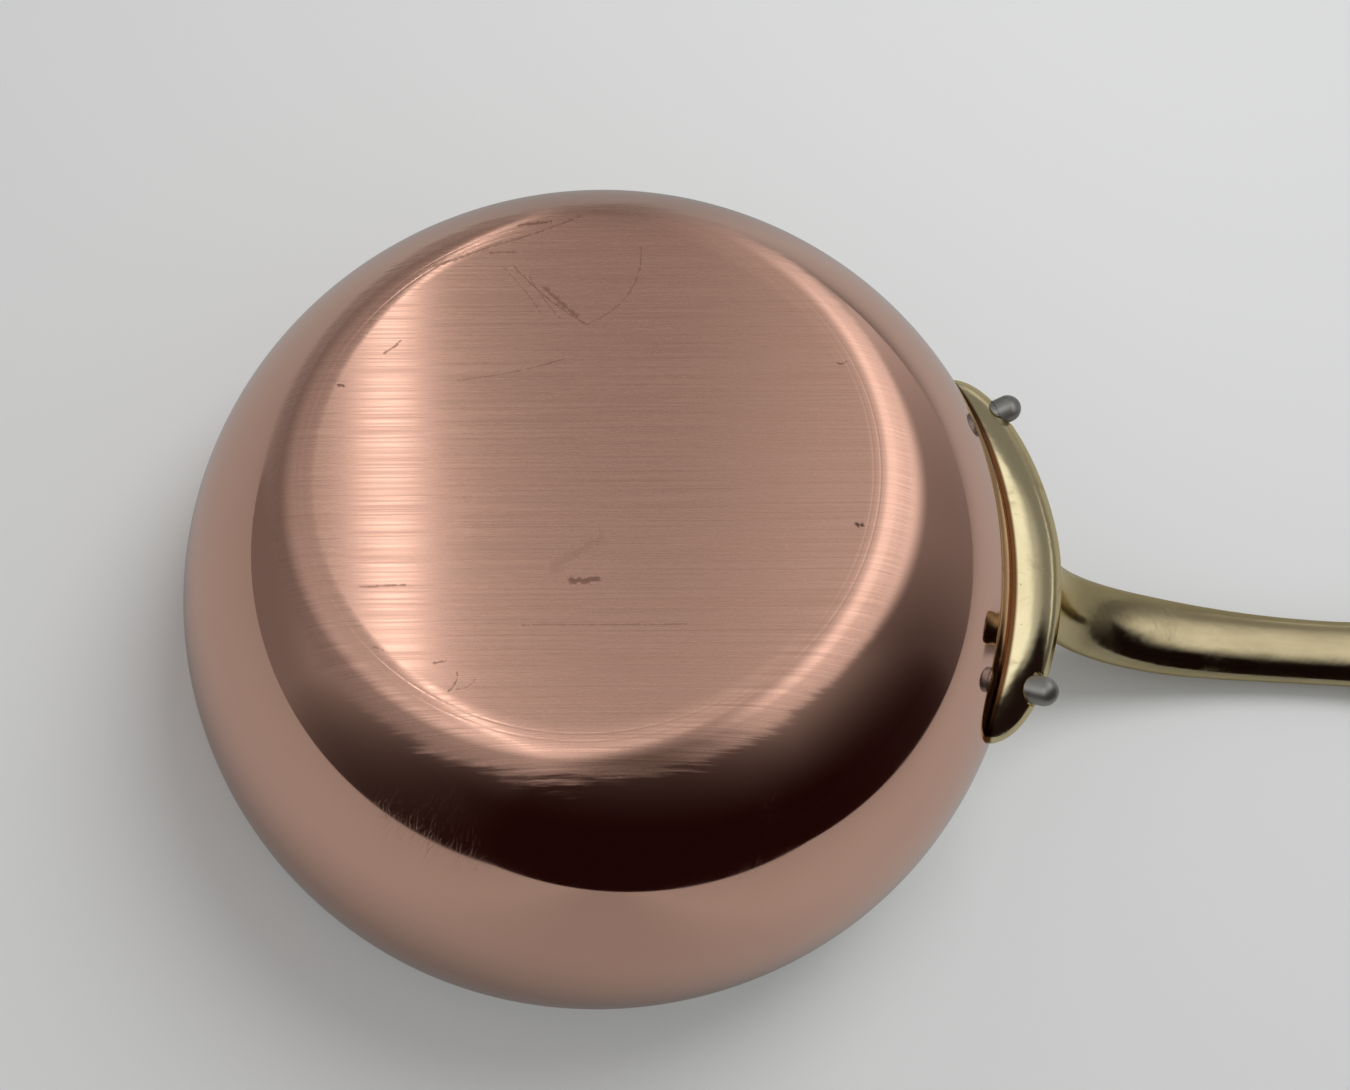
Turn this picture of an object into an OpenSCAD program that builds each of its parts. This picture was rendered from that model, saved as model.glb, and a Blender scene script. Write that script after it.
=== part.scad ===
// Copper saute pan: a splayed, round-walled bowl of clad metal with a cast handle on two rivets.
// The pan stands upright. The origin is the centre of the base's underside, +Z is up and the
// handle points along +X.

/* [Bowl] */
// Outer diameter of the bowl at its rim
rim_d = 200; // [170:1:240]
// Height of the bowl from the underside of its base to its rim
bowl_h = 70; // [60:1:90]
// Diameter of the flat part of the base
base_d = 118; // [90:1:130]
// Outer radius of the corner between the base and the wall
corner_r = 4; // [3.5:0.5:10]
// Thickness of the copper
copper_t = 1.8; // [1.5:0.1:2.5]
// Thickness of the steel lining
lining_t = 0.2; // [0.2:0.05:0.5]
// Width of the small bevel on the outer edge of the rim
rim_bevel = 0.4; // [0.2:0.1:0.8]

/* [Flange of the handle] */
// Width of the flange, from tip to tip
flange_w = 93; // [84:1:100]
// Height of the flange
flange_h = 24; // [20:1:30]
// Depth of the middle of the flange below the rim
flange_drop = 20; // [17:0.5:23]
// Thickness of metal in front of the wall at the middle of the flange
flange_t = 10.5; // [8:0.5:14]
// Depth of the flange's round front, from its middle back to its tips
flange_bulge = 21; // [17:0.5:25]

/* [Grip of the handle] */
// Distance from the rim to the far end of the handle
handle_reach = 185; // [160:1:220]
// Height of the handle's far end above the rim
handle_rise = 66; // [50:1:75]
// Angle at which the neck leaves the flange
neck_lean = 64; // [58:1:68]
// Length along which the neck keeps that angle
neck_pull = 51; // [44:1:56]
// Angle at which the far end of the handle rises
tip_lean = 3.6; // [0:0.1:7]
// Length along which the far end keeps that angle
tip_pull = 158; // [140:1:165]
// Depth of the neck's root below the middle of the flange
neck_low = 2; // [0:0.5:4]
// Distance of the neck's root in front of the wall
neck_out = 3.5; // [2:0.5:5]
// Width of the neck
neck_w = 20; // [16:0.5:24]
// Extra width of the neck where it flares into the flange
neck_flare = 6; // [3:0.5:12]
// Thickness of the neck
neck_t = 13; // [11:0.5:15]
// Width of the grip at its belly
belly_w = 22.4; // [18:0.2:26]
// Thickness of the grip at its belly
belly_t = 12.5; // [10:0.5:15]
// Width of the grip at its waist
waist_w = 19.5; // [16:0.5:22]
// Thickness of the grip at its waist
waist_t = 11; // [9:0.5:13]
// Width of the handle's far end
end_w = 25; // [20:0.5:30]
// Thickness of the handle's far end
end_t = 9; // [8:0.5:11]
// Diameter of the hole that the pan hangs from
hang_d = 10; // [7:0.5:12]

/* [Rivets] */
// Diameter of a rivet's shank
shank_d = 6; // [5:0.5:7]
// Angle of each rivet round the bowl, away from the handle's middle
rivet_turn = 20; // [17:0.5:22]
// Depth of the rivets below the middle of the flange
rivet_low = 2.2; // [0:0.1:3]
// Distance from the outside of the wall to the seat of the outer head
seat_out = 6; // [4.5:0.5:6.5]
// Diameter of the tall outer head
outer_head_d = 7.2; // [6.4:0.2:9]
// Length of the straight part of the outer head
outer_head_h = 2.6; // [1.6:0.2:5]
// Diameter of the broad head inside the bowl
inner_head_d = 13; // [10:0.5:16]
// Thickness of the broad head at its middle
inner_head_h = 2.2; // [1.8:0.1:3]
// Thickness of the broad head at its edge
inner_edge_h = 0.8; // [0.5:0.1:1.2]
// Gap left all round an outer head in its seat
seat_gap = 0.4; // [0.2:0.1:0.8]
// Gap left all round a shank in its hole
shank_gap = 0.05; // [0.03:0.01:0.1]

/* [Hidden] */

// Fineness of round shapes
round_steps = 180;
shank_steps = 48;
grip_sides = 28;
neck_rings = 26;
cap_rings = 6;
flange_sides = 24;
flange_rings = 12;

// Bowl: one wide arc runs from the corner up to the rim, where it stands upright
rim_r = rim_d / 2;
base_r = base_d / 2;
wall_t = copper_t + lining_t;
splay = rim_r - base_r - corner_r;
rise = bowl_h - corner_r;
wall_start = 90 - 2 * atan(splay / rise);
wall_r = corner_r + rise / cos(wall_start);
wall_axis = rim_r - wall_r;

// Cuts run past the metal by this much
overrun = wall_t;

// Flange: a rounded block whose front is a superellipse both in plan and in section
plan_power = 1.8;
side_power = 2.4;
flange_z = bowl_h - flange_drop;
wall_at_flange = wall_axis + sqrt(pow(wall_r, 2) - pow(flange_drop, 2));
flange_front = wall_at_flange + flange_t;
flange_back = flange_front - flange_bulge;
flange_inset = flange_bulge;
flange_top_turn = 74;

// Handle: the middle line is a curve from the root inside the flange to the far end
root = [wall_at_flange + neck_out, flange_z - neck_low];
tip = [rim_r + handle_reach, bowl_h + handle_rise];
neck_guide = root + neck_pull * [cos(neck_lean), sin(neck_lean)];
tip_guide = tip - tip_pull * [cos(tip_lean), sin(tip_lean)];
grip_power = 2.2;

// Places along the handle, as shares of the curve's parameter
flare_share = 0.3;
belly_share = 0.52;
waist_share = 0.8;
end_share = 0.96;
cap_share = end_w / 2 / (3 * tip_pull);
last_ring_turn = 78;

// Rivets: each shank stands square to the wall
rivet_drop = asin((flange_drop + rivet_low) / wall_r);
seat_at = wall_r + seat_out;
inner_face = wall_r - wall_t;
inner_dome_r = (pow(inner_head_d / 2, 2) + pow(inner_head_h - inner_edge_h, 2)) / 2 / (inner_head_h - inner_edge_h);

function signed_power(v, power) = sign(v) * pow(abs(v), 2 / power);

function blend(a, b, share) = a + (b - a) * (1 - cos(180 * min(1, max(0, share)))) / 2;

function curve(a, b, c, d, t) =
    pow(1 - t, 3) * a + 3 * pow(1 - t, 2) * t * b + 3 * (1 - t) * pow(t, 2) * c + pow(t, 3) * d;

function curve_slope(a, b, c, d, t) =
    3 * pow(1 - t, 2) * (b - a) + 6 * (1 - t) * t * (c - b) + 3 * pow(t, 2) * (d - c);

// A size that passes from the neck to the belly, the waist and the end
function along(neck, belly, waist, end, t) =
    t < belly_share ? blend(neck, belly, t / belly_share)
    : t < waist_share ? blend(belly, waist, (t - belly_share) / (waist_share - belly_share))
    : blend(waist, end, (t - waist_share) / (end_share - waist_share));

function grip_width(t) = along(neck_w, belly_w, waist_w, end_w, t) + blend(neck_flare, 0, t / flare_share);

function grip_depth(t) = along(neck_t, belly_t, waist_t, end_t, t);

// One ring of the grip, square to the middle line, with its size times a scale
function grip_ring(t, scale) =
    let (
        middle = curve(root, neck_guide, tip_guide, tip, t),
        slope = curve_slope(root, neck_guide, tip_guide, tip, t),
        up = [-slope[1], slope[0]] / norm(slope),
        half_w = grip_width(t) / 2 * scale,
        half_t = grip_depth(t) / 2 * scale
    )
    [for (i = [0 : grip_sides - 1])
        let (
            turn = 360 * i / grip_sides,
            side = half_w * signed_power(cos(turn), grip_power),
            lift = half_t * signed_power(sin(turn), grip_power)
        )
        [middle[0] + up[0] * lift, side, middle[1] + up[1] * lift]];

function grip_rings() = concat(
    [for (i = [0 : neck_rings]) grip_ring((1 - cap_share) * i / neck_rings, 1)],
    [for (i = [1 : cap_rings])
        let (turn = last_ring_turn * i / cap_rings)
        grip_ring(1 - cap_share * (1 - sin(turn)), cos(turn))]
);

// One level outline of the flange, with its front bulging towards the handle
function flange_ring(turn) =
    let (
        shrink = signed_power(cos(turn), side_power),
        level = flange_z + flange_h / 2 * signed_power(sin(turn), side_power)
    )
    concat(
        [for (i = [0 : flange_sides])
            let (a = 180 * i / flange_sides - 90)
            [
                flange_back + flange_bulge * shrink * signed_power(cos(a), plan_power),
                flange_w / 2 * shrink * signed_power(sin(a), plan_power),
                level
            ]],
        [
            [flange_back - flange_inset, flange_w / 2 * shrink, level],
            [flange_back - flange_inset, -flange_w / 2 * shrink, level]
        ]
    );

function flange_rings() = [for (i = [0 : flange_rings]) flange_ring(flange_top_turn * (2 * i / flange_rings - 1))];

// A closed solid whose skin joins rings of equal count, one after the other
module skin(rings) {
    sides = len(rings[0]);
    last = len(rings) - 1;
    walls = [for (r = [0 : last - 1], i = [0 : sides - 1])
        let (j = (i + 1) % sides)
        each [
            [r * sides + i, (r + 1) * sides + j, r * sides + j],
            [r * sides + i, (r + 1) * sides + i, (r + 1) * sides + j]
        ]];
    first_cap = [for (i = [0 : sides - 1]) i];
    last_cap = [for (i = [0 : sides - 1]) last * sides + sides - 1 - i];
    polyhedron(points = [for (ring = rings) each ring], faces = concat(walls, [first_cap, last_cap]));
}

// Half section of all that lies inside the bowl's skin, at a depth below its outer face.
// Its three areas overlap: the wall's disc above the corner, the corner's disc and the core.
module filled_section(depth, top) {
    corner = [base_r, corner_r];
    below = corner + 2 * corner_r * [sin(wall_start), -cos(wall_start)];
    intersection() {
        translate([wall_axis, bowl_h])
            circle(r = wall_r - depth, $fn = 2 * round_steps);
        polygon([[0, top], [0, corner_r], corner, below, [2 * rim_r, below[1]], [2 * rim_r, top]]);
    }
    translate(corner)
        circle(r = corner_r - depth, $fn = round_steps);
    translate([0, depth])
        square([base_r, top - depth]);
}

// Half section of one layer of the bowl
module layer_section(depth, thickness) {
    difference() {
        filled_section(depth, bowl_h);
        filled_section(depth + thickness, bowl_h + overrun);
    }
}

// The space inside the wall's arc, up to the rim
module wall_core(radius) {
    rotate_extrude($fn = round_steps)
        intersection() {
            translate([wall_axis, bowl_h])
                circle(r = radius, $fn = 2 * round_steps);
            translate([0, corner_r])
                square([2 * rim_r, rise]);
        }
}

// Turns +Z into a rivet's axis, with zero at the centre of the wall's arc
module at_rivet(side) {
    rotate([0, 0, side * rivet_turn])
        translate([wall_axis, 0, bowl_h])
            rotate([0, 90 + rivet_drop, 0])
                children();
}

module rivet_hole(side) {
    at_rivet(side)
        translate([0, 0, inner_face - overrun])
            cylinder(d = shank_d + 2 * shank_gap, h = seat_at - inner_face + 2 * overrun, $fn = shank_steps);
}

// The broad head's underside follows the curve of the lining
module inner_head_section() {
    intersection() {
        translate([0, inner_face - inner_head_h + inner_dome_r])
            circle(r = inner_dome_r, $fn = 2 * round_steps);
        circle(r = inner_face, $fn = 2 * round_steps);
        translate([0, inner_face - 2 * inner_head_h])
            square([inner_head_d / 2, 3 * inner_head_h]);
    }
}

// The tall outer head ends in a round dome
module outer_head_section() {
    translate([0, seat_at])
        square([outer_head_d / 2, outer_head_h]);
    intersection() {
        translate([0, seat_at + outer_head_h])
            circle(d = outer_head_d, $fn = shank_steps);
        translate([0, seat_at + outer_head_h])
            square([outer_head_d, outer_head_d]);
    }
}

module rivet(side) {
    at_rivet(side)
        rotate_extrude($fn = shank_steps) {
            inner_head_section();
            translate([0, inner_face - inner_edge_h])
                square([shank_d / 2, seat_at - inner_face + inner_edge_h]);
            outer_head_section();
        }
}

module copper_shell() {
    color("#b9705c")
        difference() {
            rotate_extrude($fn = round_steps)
                difference() {
                    layer_section(0, copper_t);
                    polygon([
                        [rim_r - rim_bevel, bowl_h + overrun],
                        [rim_r - rim_bevel, bowl_h],
                        [rim_r, bowl_h - rim_bevel],
                        [rim_r + overrun, bowl_h - rim_bevel],
                        [rim_r + overrun, bowl_h + overrun]
                    ]);
                }
            rivet_hole(1);
            rivet_hole(-1);
        }
}

module steel_lining() {
    color("#c8c8c4")
        difference() {
            rotate_extrude($fn = round_steps)
                layer_section(copper_t, lining_t);
            rivet_hole(1);
            rivet_hole(-1);
        }
}

module cast_handle() {
    color("#b79b58")
        difference() {
            union() {
                skin(flange_rings());
                skin(grip_rings());
            }
            wall_core(wall_r);
            for (side = [1, -1]) {
                rivet_hole(side);
                at_rivet(side)
                    translate([0, 0, seat_at])
                        cylinder(d = outer_head_d + 2 * seat_gap, h = flange_t, $fn = shank_steps);
            }
            translate([tip[0] - end_w / 2, 0, tip[1] - end_w])
                cylinder(d = hang_d, h = 2 * end_w, $fn = shank_steps);
        }
}

module rivet_left() {
    color("#85857f")
        rivet(1);
}

module rivet_right() {
    color("#85857f")
        rivet(-1);
}

copper_shell();
steel_lining();
cast_handle();
rivet_left();
rivet_right();
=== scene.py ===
"""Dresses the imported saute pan: fine meshes, procedural metals, a pale stage and the camera."""

import math

import bmesh
import bpy
from bpy.props import FloatProperty, FloatVectorProperty, IntProperty, PointerProperty
from mathutils import Matrix, Vector


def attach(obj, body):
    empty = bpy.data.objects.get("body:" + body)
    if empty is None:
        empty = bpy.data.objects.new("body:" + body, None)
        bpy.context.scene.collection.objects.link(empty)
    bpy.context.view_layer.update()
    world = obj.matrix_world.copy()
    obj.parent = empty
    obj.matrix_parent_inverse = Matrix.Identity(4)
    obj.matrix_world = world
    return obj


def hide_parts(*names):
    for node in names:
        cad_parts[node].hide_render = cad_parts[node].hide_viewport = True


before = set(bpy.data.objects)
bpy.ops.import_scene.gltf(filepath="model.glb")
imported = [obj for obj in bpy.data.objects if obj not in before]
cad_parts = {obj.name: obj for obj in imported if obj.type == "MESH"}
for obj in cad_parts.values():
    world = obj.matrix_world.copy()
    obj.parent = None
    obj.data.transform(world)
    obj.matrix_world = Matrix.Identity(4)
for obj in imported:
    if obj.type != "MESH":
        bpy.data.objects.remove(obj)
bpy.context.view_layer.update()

bl_info = {
    "name": "Saute pan",
    "version": (1, 0, 0),
    "blender": (4, 5, 0),
    "location": "View3D > Sidebar > Saute Pan",
    "description": "Builds a riveted copper saute pan and its stage",
    "category": "Object",
}

BODY = "root"
MM = 0.001


# ---------------------------------------------------------------- settings


def setting(kind, **kept):
    """A short form of one kind of property, which takes a name, a description and a default."""

    def make(name, description, default):
        return kind(name=name, description=description, default=default, **kept)

    return make


length_prop = setting(FloatProperty, unit="LENGTH")
angle_prop = setting(FloatProperty, subtype="ANGLE")
number_prop = setting(FloatProperty)
count_prop = setting(IntProperty)
pair_prop = setting(FloatVectorProperty, size=2, unit="LENGTH")
colour_prop = setting(FloatVectorProperty, size=3, subtype="COLOR")


class BowlSettings(bpy.types.PropertyGroup):
    rim_radius: length_prop("Rim radius", "Outer radius of the rim", 0.1)
    height: length_prop("Height", "Height from base to rim", 0.07)
    base_radius: length_prop("Base radius", "Radius of the flat base", 0.059)
    corner: length_prop("Corner", "Outer radius between base and wall", 0.004)
    shoulder_start: length_prop("Shoulder start", "Radius where polishing rounds the base", 0.055)
    shoulder_radius: length_prop("Shoulder radius", "Radius of that soft round", 0.032)
    shoulder_turn: angle_prop("Shoulder turn", "Angle that the soft round turns", math.radians(8))
    copper: length_prop("Copper", "Thickness of the copper", 0.0018)
    lining: length_prop("Lining", "Thickness of the steel lining", 0.0002)
    rim_round: length_prop("Rim rounding", "Width of the rim's bevel", 0.0004)
    turns: count_prop("Turn steps", "Steps of a full turn", 288)
    wall_steps: count_prop("Wall steps", "Steps along the wall's arc", 44)
    corner_steps: count_prop("Corner steps", "Steps along the corner's arc", 10)


class HandleSettings(bpy.types.PropertyGroup):
    flange_width: length_prop("Flange width", "From tip to tip", 0.093)
    flange_height: length_prop("Flange height", "Height of the flange", 0.024)
    flange_drop: length_prop("Flange drop", "Middle of the flange below the rim", 0.02)
    flange_thickness: length_prop("Flange thickness", "Metal in front of the wall", 0.0105)
    flange_bulge: length_prop("Flange bulge", "Depth of the round front", 0.021)
    flange_power: number_prop("Flange section", "2 for an ellipse, more for a squarer section", 2.0)
    flange_plan: number_prop("Flange plan", "2 for an ellipse, less for one with pointed ends", 1.8)
    reach: length_prop("Reach", "From the rim to the far end", 0.185)
    rise: length_prop("Rise", "Far end above the rim", 0.066)
    neck_lean: angle_prop("Neck lean", "Angle of the neck", math.radians(60.5))
    neck_pull: length_prop("Neck pull", "Length that keeps the neck's angle", 0.023)
    tip_lean: angle_prop("Tip lean", "Angle of the far end", math.radians(3.6))
    tip_pull: length_prop("Tip pull", "Length that keeps the end's angle", 0.173)
    neck_high: length_prop("Neck root height", "Root above the flange's middle", 0.006)
    neck_out: length_prop("Neck root distance", "Root in front of the wall", 0.004)
    neck_flare: length_prop("Neck flare", "Extra width at the flange", 0.001)
    neck_size: pair_prop("Neck", "Width and thickness", (0.0187, 0.013))
    belly_size: pair_prop("Belly", "Width and thickness", (0.0224, 0.0125))
    waist_size: pair_prop("Waist", "Width and thickness", (0.0195, 0.011))
    end_size: pair_prop("End", "Width and thickness", (0.025, 0.009))
    hole_radius: length_prop("Hanging hole", "Radius of the hanging hole", 0.005)
    # Where the patina and painted shade under the grip begin
    patina_and_shade_start: length_prop("Patina start", "Start of the patina beyond the rim", 0.012)
    skin_cell: length_prop("Skin cell", "Cell of the cast skin", 0.0006)
    fit_gap: length_prop("Fit gap", "Gap between flange and wall", 0.00004)


class RivetSettings(bpy.types.PropertyGroup):
    shank_radius: length_prop("Shank radius", "Radius of the shank", 0.003)
    turn: angle_prop("Turn", "Angle away from the handle", math.radians(20))
    low: length_prop("Low", "Depth below the flange's middle", 0.0022)
    seat: length_prop("Seat", "Outer seat in front of the wall", 0.006)
    head_radius: length_prop("Outer head", "Radius of the tall outer head", 0.0033)
    head_height: length_prop("Head height", "Straight part of the outer head", 0.0026)
    inner_radius: length_prop("Inner head", "Radius of the broad head", 0.0065)
    inner_height: length_prop("Inner height", "Broad head at its middle", 0.0022)
    inner_edge: length_prop("Inner edge", "Broad head at its edge", 0.0008)
    seat_gap: length_prop("Seat gap", "Gap round the head in its seat", 0.0004)
    steps: count_prop("Steps", "Steps of a full turn", 72)


class FinishSettings(bpy.types.PropertyGroup):
    copper: colour_prop("Copper", "Colour of clean copper", (0.93, 0.56, 0.43))
    copper_deep: colour_prop("Deep copper", "Colour of handled copper", (0.84, 0.47, 0.35))
    steel: colour_prop("Steel", "Colour of the lining", (0.68, 0.67, 0.65))
    bronze: colour_prop("Bronze", "Colour of clean bronze", (0.80, 0.70, 0.44))
    bronze_dull: colour_prop("Dull bronze", "Colour of tarnished bronze", (0.42, 0.31, 0.15))
    rivet: colour_prop("Rivet steel", "Colour of the rivets", (0.25, 0.25, 0.235))
    # Patina under the grip, which also stands for painted shade on its down-facing side
    patina_and_shade: colour_prop("Patina", "Colour of bronze that is never polished", (0.40, 0.335, 0.20))


class StageSettings(bpy.types.PropertyGroup):
    camera_distance: length_prop("Camera distance", "From the camera to its target", 0.3255)
    camera_elevation: angle_prop("Camera elevation", "Height angle over the upturned rim", math.radians(66.2))
    camera_roll: angle_prop("Camera roll", "Roll of the camera", math.radians(-0.15))
    pan_turn: angle_prop("Pan turn", "Turn of the pan under the camera", math.radians(0.4))
    target: pair_prop("Target", "Target right of and above the rim's centre", (0.01728, 0.01039))
    lens: number_prop("Lens", "Focal length in millimetres", 34.667)
    floor: colour_prop("Floor", "Colour of both floors", (0.80, 0.81, 0.805))
    backdrop: colour_prop("Backdrop", "Colour behind the floors", (0.63, 0.645, 0.64))
    # Metals see the floor darker than the camera does: painted shade
    mirrored_floor: number_prop("Mirrored floor", "Share of the floor's colour that metals reflect", 0.61)
    daylight: number_prop("Daylight", "Even light on the floors", 0.46)


def settings():
    return bpy.context.scene.saute_pan


# ---------------------------------------------------------------- bowl's measures


class Wall:
    """The arc of the wall: one wide arc from the corner up to the rim, where it stands upright."""

    def __init__(self, bowl):
        splay = bowl.rim_radius - bowl.base_radius - bowl.corner
        rise = bowl.height - bowl.corner
        self.start = math.pi / 2 - 2 * math.atan(splay / rise)
        self.radius = bowl.corner + rise / math.cos(self.start)
        self.axis = bowl.rim_radius - self.radius
        self.centre = Vector((self.axis, 0, bowl.height))
        self.corner_centre = Vector((bowl.base_radius, 0, bowl.corner))
        self.fit_shoulder(bowl)

    def fit_shoulder(self, bowl):
        """The polished edge of the base: a wide soft round, then one that meets the wall's arc."""
        turn, soft = bowl.shoulder_turn, bowl.shoulder_radius
        self.shoulder_centre = Vector((bowl.shoulder_start, 0, soft))
        end = self.shoulder_centre + soft * Vector((math.sin(turn), 0, -math.cos(turn)))
        across, up = end.x - self.axis, bowl.height - end.z
        spare = self.radius**2 - across**2 - up**2
        tight = spare / 2 / (self.radius - across * math.sin(turn) - up * math.cos(turn))
        self.round_centre = end + tight * Vector((-math.sin(turn), 0, math.cos(turn)))
        away = self.round_centre - self.centre
        self.round_end = math.atan2(away.x, -away.z)


# ---------------------------------------------------------------- mesh helpers


WELD = 1e-7


def new_piece(name, mesh):
    piece = bpy.data.objects.new(name, mesh)
    bpy.context.scene.collection.objects.link(piece)
    return piece


def mesh_from(bm, name):
    mesh = bpy.data.meshes.new(name)
    bm.to_mesh(mesh)
    bm.free()
    return mesh


def close_and_face_out(bm):
    bmesh.ops.remove_doubles(bm, verts=bm.verts[:], dist=WELD)
    bmesh.ops.dissolve_degenerate(bm, edges=bm.edges[:], dist=WELD)
    bmesh.ops.recalc_face_normals(bm, faces=bm.faces[:])


def smooth_by_angle(mesh, degrees):
    mesh.shade_smooth()
    mesh.set_sharp_from_angle(angle=math.radians(degrees))


def draw_arc(bm, start, centre, angle, steps):
    """Turns a point about a centre in the XZ plane and leaves the arc's edges. Returns the last point."""
    made = bmesh.ops.spin(
        bm, geom=[start], cent=centre, axis=(0, -1, 0), angle=angle, steps=steps, use_merge=False, use_duplicate=False
    )
    return next(v for v in made["geom_last"] if isinstance(v, bmesh.types.BMVert))


def draw_line(bm, start, end, steps=1):
    """Draws a straight run of edges. Returns the last point."""
    first, step = start, (Vector(end) - start.co) / steps
    for _ in range(steps):
        made = bmesh.ops.extrude_vert_indiv(bm, verts=[first])
        first = made["verts"][0]
        bmesh.ops.translate(bm, verts=[first], vec=step)
    return first


def turn_profile(bm, steps):
    """Turns the whole profile once about Z and closes it."""
    bmesh.ops.spin(
        bm, geom=bm.verts[:] + bm.edges[:], cent=(0, 0, 0), axis=(0, 0, 1), angle=2 * math.pi, steps=steps,
        use_merge=True,
    )
    close_and_face_out(bm)


def apply_modifiers(piece):
    """Replaces the piece's mesh with its finished one."""
    graph = bpy.context.evaluated_depsgraph_get()
    finished = bpy.data.meshes.new_from_object(piece.evaluated_get(graph))
    piece.modifiers.clear()
    old, piece.data = piece.data, finished
    bpy.data.meshes.remove(old)


def cut_away(piece, cutter_mesh):
    cutter = new_piece(piece.name + ".cutter", cutter_mesh)
    cut = piece.modifiers.new("Cut", "BOOLEAN")
    cut.operation, cut.object, cut.solver = "DIFFERENCE", cutter, "EXACT"
    apply_modifiers(piece)
    bpy.data.objects.remove(cutter)
    bpy.data.meshes.remove(cutter_mesh)


def map_grain(mesh, lay):
    """Writes the UV map that the grain follows: U runs across the grain and V along it."""
    bm = bmesh.new()
    bm.from_mesh(mesh)
    layer = bm.loops.layers.uv.new("grain")
    for face in bm.faces:
        middle = face.calc_center_median()
        for loop in face.loops:
            loop[layer].uv = lay(loop.vert.co, middle)
    bm.to_mesh(mesh)
    bm.free()


# ---------------------------------------------------------------- node helpers


class Value:
    """What a node puts out. Sums, products and the like of values add the Math nodes for them."""

    def __init__(self, sheet, socket):
        self.sheet, self.socket = sheet, socket

    def __abs__(self):
        return self.sheet.math("ABSOLUTE", self)

    def smooth(self, low, high, out_low=0.0, out_high=1.0):
        """Eases from one level to another between two values. Low may be the larger of the two."""
        limits = {"Value": self, "From Min": low, "From Max": high, "To Min": out_low, "To Max": out_high}
        return self.sheet.value("ShaderNodeMapRange", limits, interpolation_type="SMOOTHSTEP")


def math_operator(operation, swapped=False):
    """The way that a value takes one of the signs."""

    def apply(value, other):
        return value.sheet.math(operation, *((other, value) if swapped else (value, other)))

    return apply


for operation, sign in (
    ("ADD", "add"), ("SUBTRACT", "sub"), ("MULTIPLY", "mul"), ("DIVIDE", "truediv"), ("POWER", "pow")
):
    setattr(Value, f"__{sign}__", math_operator(operation))
    setattr(Value, f"__r{sign}__", math_operator(operation, swapped=True))


class NodeTree:
    """Adds nodes to a tree and returns their values."""

    def __init__(self, tree):
        self.tree = tree

    def feed(self, socket, value):
        if isinstance(value, Value):
            self.tree.links.new(value.socket, socket)
        else:
            socket.default_value = value

    def add(self, kind, inputs=None, **choices):
        node = self.tree.nodes.new(kind)
        for key, value in choices.items():
            setattr(node, key, value)
        for key, value in (inputs or {}).items():
            if value is not None:
                self.feed(node.inputs[key], value)
        return node

    def value(self, kind, inputs=None, output=0, **choices):
        return Value(self, self.add(kind, inputs, **choices).outputs[output])

    def values(self, kind, inputs=None, **choices):
        """Adds a node and returns all that it puts out, by name."""
        return {socket.name: Value(self, socket) for socket in self.add(kind, inputs, **choices).outputs}

    def math(self, operation, *values, clamp=False):
        return self.value("ShaderNodeMath", dict(enumerate(values)), operation=operation, use_clamp=clamp)

    def largest(self, *values):
        whole = values[0]
        for value in values[1:]:
            whole = self.math("MAXIMUM", whole, value)
        return whole

    def vector(self, operation, a, b=None, scale=None):
        output = "Value" if operation in ("DOT_PRODUCT", "LENGTH", "DISTANCE") else "Vector"
        return self.value("ShaderNodeVectorMath", {0: a, 1: b, "Scale": scale}, output, operation=operation)

    def plane(self, x, y):
        """A vector of two values."""
        return self.value("ShaderNodeCombineXYZ", {0: x, 1: y})

    def parts(self, vector):
        return self.values("ShaderNodeSeparateXYZ", {0: vector}).values()

    def mix(self, share, a, b):
        """Mixes two colours, each a value or three numbers."""
        a, b = (end if isinstance(end, Value) else (*end, 1.0) for end in (a, b))
        return self.value("ShaderNodeMix", {0: share, 6: a, 7: b}, 2, data_type="RGBA")

    def noise(self, vector, scale, detail=2.0, rough=0.5, distort=0.0):
        given = {"Vector": vector, "Scale": scale, "Detail": detail, "Roughness": rough, "Distortion": distort}
        return self.value("ShaderNodeTexNoise", given, "Fac")

    def place(self):
        return self.value("ShaderNodeTexCoord", output="Object")

    def warm_light(self, level, warm):
        """A slightly warm grey: one level for red, one for green and blue."""
        return self.value("ShaderNodeCombineColor", {0: level, 1: warm, 2: warm})

    def facing(self):
        """0 for a face seen from straight ahead, up to 1 at its edge."""
        return self.value("ShaderNodeLayerWeight", {"Blend": 0.5}, "Facing")

    def clear(self):
        return self.value("ShaderNodeBsdfTransparent")

    def put_out(self, share, first, second):
        """Shows the first shader, and the second for a share."""
        mixed = self.value("ShaderNodeMixShader", {0: share, 1: first, 2: second})
        self.feed(self.add("ShaderNodeOutputMaterial").inputs["Surface"], mixed)


def empty_tree(owner):
    """Clears the nodes of a material or a world."""
    owner.use_nodes = True
    owner.node_tree.nodes.clear()
    return NodeTree(owner.node_tree)


FLOAT, VECTOR = "NodeSocketFloat", "NodeSocketVector"


def new_group(name, inputs, outputs):
    """Starts a shader node group. Inputs are (name, kind, default) rows, and outputs are names of values."""
    group = bpy.data.node_groups.new(name, "ShaderNodeTree")
    for title, kind, default in inputs:
        socket = group.interface.new_socket(title, in_out="INPUT", socket_type=kind)
        if default is not None:
            socket.default_value = default
    for title in outputs:
        group.interface.new_socket(title, in_out="OUTPUT", socket_type=FLOAT)
    sheet = NodeTree(group)
    return sheet, sheet.values("NodeGroupInput"), sheet.add("NodeGroupOutput").inputs


def use_group(sheet, name, inputs):
    return sheet.values("ShaderNodeGroup", inputs, node_tree=bpy.data.node_groups[name])


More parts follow.
